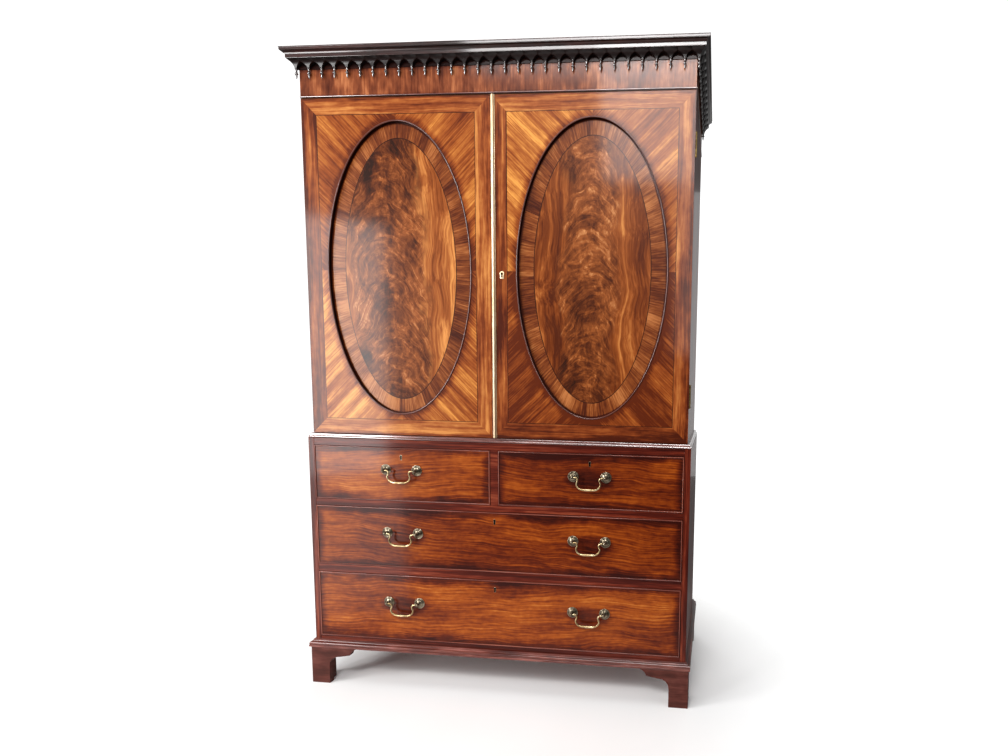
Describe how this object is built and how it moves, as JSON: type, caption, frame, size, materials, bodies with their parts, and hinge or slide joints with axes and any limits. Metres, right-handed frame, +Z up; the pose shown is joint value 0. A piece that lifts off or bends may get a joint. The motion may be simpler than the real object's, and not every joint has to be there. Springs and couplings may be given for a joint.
{
  "type": "linen press",
  "caption": "Linen cupboard with oval-panelled doors over a chest of drawers on bracket feet, swan-neck bail handles, and a cove cornice of pointed arches with turned pendants.",
  "frame": {"origin": "middle of the outline's base, on the floor", "axes": "+Z up, front with the doors and drawers towards -Y, +X to the right of someone facing it"},
  "size_m": [1.351, 0.5696, 2.095],
  "materials": {
    "mahogany": "french polished",
    "flame_mahogany": "french polished veneer",
    "dark_mahogany": "dark stained and polished",
    "interior_wood": "plain oiled",
    "brass": "old polished brass"
  },
  "bodies": {
    "carcase": {"front_left_foot": "dark_mahogany", "front_right_foot": "dark_mahogany", "rear_left_foot": "dark_mahogany", "rear_right_foot": "dark_mahogany", "chest_left_side": "mahogany", "chest_right_side": "mahogany", "chest_top_board": "dark_mahogany", "chest_bottom_board": "dark_mahogany", "lower_drawer_rail": "dark_mahogany", "upper_drawer_rail": "dark_mahogany", "chest_back": "interior_wood", "plinth_moulding": "mahogany", "waist_moulding": "mahogany", "cupboard_left_side": "mahogany", "cupboard_right_side": "mahogany", "cupboard_bottom_board": "interior_wood", "cupboard_top_board": "interior_wood", "cupboard_back": "interior_wood", "linen_tray_1": "interior_wood", "linen_tray_2": "interior_wood", "linen_tray_3": "interior_wood", "left_lower_hinge": "brass", "left_upper_hinge": "brass", "right_lower_hinge": "brass", "right_upper_hinge": "brass", "cornice_frieze": "mahogany", "cornice_arcade": "dark_mahogany", "cornice_crown": "dark_mahogany"},
    "left_door": {"left_door_frame": "mahogany", "left_door_oval_panel": "flame_mahogany"},
    "right_door": {"right_door_frame": "mahogany", "right_door_oval_panel": "flame_mahogany", "meeting_strip": "brass", "door_lock": "brass"},
    "short_left_drawer": {"short_left_drawer_front": "flame_mahogany", "short_left_drawer_box": "interior_wood", "short_left_handle_left_post": "brass", "short_left_handle_right_post": "brass"},
    "short_right_drawer": {"short_right_drawer_front": "flame_mahogany", "short_right_drawer_box": "interior_wood", "short_right_handle_left_post": "brass", "short_right_handle_right_post": "brass"},
    "middle_drawer": {"middle_drawer_front": "flame_mahogany", "middle_drawer_box": "interior_wood", "middle_left_handle_left_post": "brass", "middle_left_handle_right_post": "brass", "middle_right_handle_left_post": "brass", "middle_right_handle_right_post": "brass"},
    "bottom_drawer": {"bottom_drawer_front": "flame_mahogany", "bottom_drawer_box": "interior_wood", "bottom_left_handle_left_post": "brass", "bottom_left_handle_right_post": "brass", "bottom_right_handle_left_post": "brass", "bottom_right_handle_right_post": "brass"},
    "short_left_bail": {"short_left_handle_bail": "brass"},
    "short_right_bail": {"short_right_handle_bail": "brass"},
    "middle_left_bail": {"middle_left_handle_bail": "brass"},
    "middle_right_bail": {"middle_right_handle_bail": "brass"},
    "bottom_left_bail": {"bottom_left_handle_bail": "brass"},
    "bottom_right_bail": {"bottom_right_handle_bail": "brass"}
  },
  "joints": [
    {"name": "left_door_hinge", "type": "hinge", "parent": "carcase", "child": "left_door", "pos_m": [-0.637, -0.2225, 0.88], "axis": [0, 0, -1], "range_deg": [0, 180]},
    {"name": "right_door_hinge", "type": "hinge", "parent": "carcase", "child": "right_door", "pos_m": [0.637, -0.2225, 0.88], "axis": [0, 0, 1], "range_deg": [0, 180]},
    {"name": "short_left_drawer_slide", "type": "slide", "parent": "carcase", "child": "short_left_drawer", "axis": [0, -1, 0], "range_m": [0, 0.38]},
    {"name": "short_right_drawer_slide", "type": "slide", "parent": "carcase", "child": "short_right_drawer", "axis": [0, -1, 0], "range_m": [0, 0.38]},
    {"name": "middle_drawer_slide", "type": "slide", "parent": "carcase", "child": "middle_drawer", "axis": [0, -1, 0], "range_m": [0, 0.38]},
    {"name": "bottom_drawer_slide", "type": "slide", "parent": "carcase", "child": "bottom_drawer", "axis": [0, -1, 0], "range_m": [0, 0.38]},
    {"name": "short_left_bail_swing", "type": "hinge", "parent": "short_left_drawer", "child": "short_left_bail", "pos_m": [-0.3205, -0.27525, 0.76285], "axis": [-1, 0, 0], "range_deg": [-16, 165]},
    {"name": "short_right_bail_swing", "type": "hinge", "parent": "short_right_drawer", "child": "short_right_bail", "pos_m": [0.3205, -0.27525, 0.76285], "axis": [-1, 0, 0], "range_deg": [-16, 165]},
    {"name": "middle_left_bail_swing", "type": "hinge", "parent": "middle_drawer", "child": "middle_left_bail", "pos_m": [-0.3205, -0.27525, 0.54753], "axis": [-1, 0, 0], "range_deg": [-16, 165]},
    {"name": "middle_right_bail_swing", "type": "hinge", "parent": "middle_drawer", "child": "middle_right_bail", "pos_m": [0.3205, -0.27525, 0.54753], "axis": [-1, 0, 0], "range_deg": [-16, 165]},
    {"name": "bottom_left_bail_swing", "type": "hinge", "parent": "bottom_drawer", "child": "bottom_left_bail", "pos_m": [-0.3205, -0.27525, 0.30414], "axis": [-1, 0, 0], "range_deg": [-16, 165]},
    {"name": "bottom_right_bail_swing", "type": "hinge", "parent": "bottom_drawer", "child": "bottom_right_bail", "pos_m": [0.3205, -0.27525, 0.30414], "axis": [-1, 0, 0], "range_deg": [-16, 165]}
  ]
}
